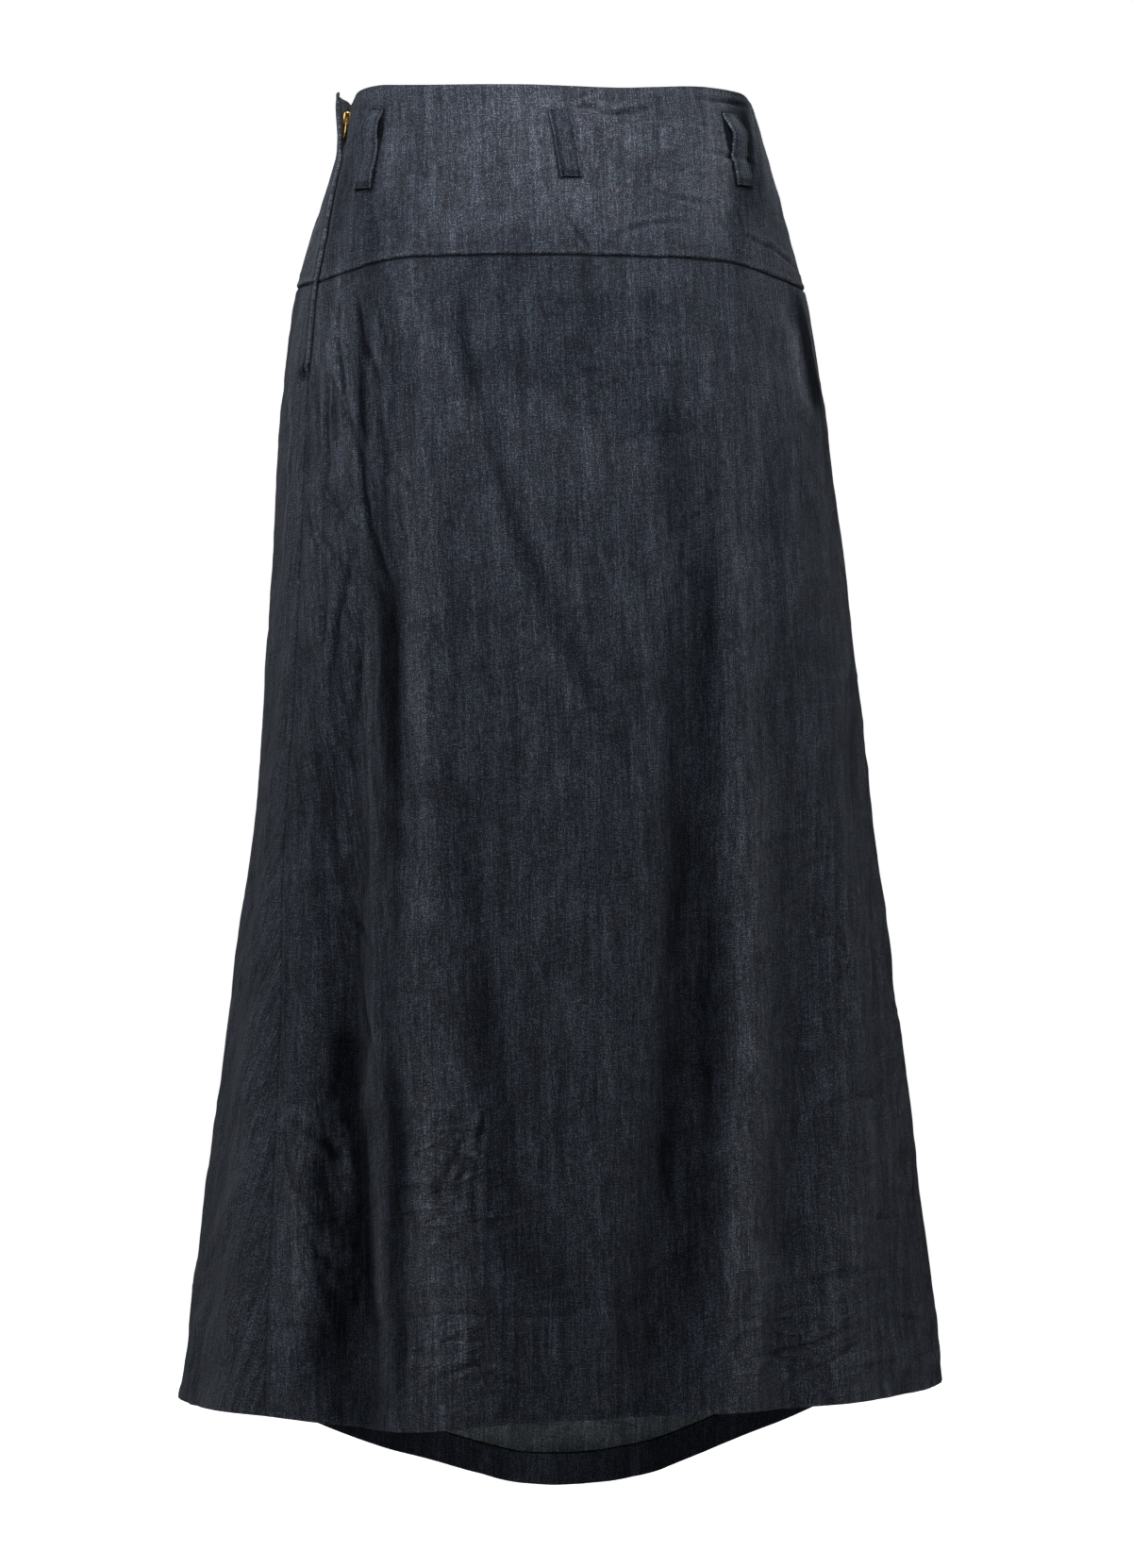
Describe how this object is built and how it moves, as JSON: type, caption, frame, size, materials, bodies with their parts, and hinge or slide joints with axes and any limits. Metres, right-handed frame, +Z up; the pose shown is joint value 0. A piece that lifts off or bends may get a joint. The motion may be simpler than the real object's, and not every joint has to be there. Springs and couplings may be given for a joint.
{
  "type": "long denim skirt",
  "caption": "Long high-waisted A-line denim skirt with a deep yoke, belt loops, a lapped side zip and a hem that dips at the front, in its worn hollow form.",
  "frame": {"origin": "middle of the waist opening, where the wearer's waist holds the skirt", "axes": "+Z up, towards the waist; -Y the side with the centre belt loop and the higher hem, read as the back; -X the side with the zip, the wearer's left"},
  "size_m": [0.4933, 0.3738, 0.9199],
  "materials": {
    "denim": "matte dark indigo twill",
    "denim_wrong_side": "matte, greyer wrong side",
    "zip_tape": "matte woven tape",
    "brass": "satin"
  },
  "bodies": {
    "skirt": {"back_yoke": "denim", "front_yoke": "denim", "back_panel": "denim", "front_panel": "denim", "back_turn_up": "denim_wrong_side", "front_turn_up": "denim_wrong_side", "belt_loop_back": "denim", "belt_loop_back_left": "denim", "belt_loop_back_right": "denim", "belt_loop_front_right": "denim", "belt_loop_front_left": "denim", "zip_teeth": "brass", "zip_tape_front": "zip_tape", "zip_tape_back": "zip_tape", "zip_slider": "brass"},
    "zip_pull": {"zip_pull": "brass"}
  },
  "joints": [
    {"name": "pull_hinge", "type": "hinge", "parent": "skirt", "child": "zip_pull", "pos_m": [-0.13247, -0.01449, -0.01236], "axis": [-0.2024, 0.9771, -0.0653], "range_deg": [0, 150]}
  ]
}
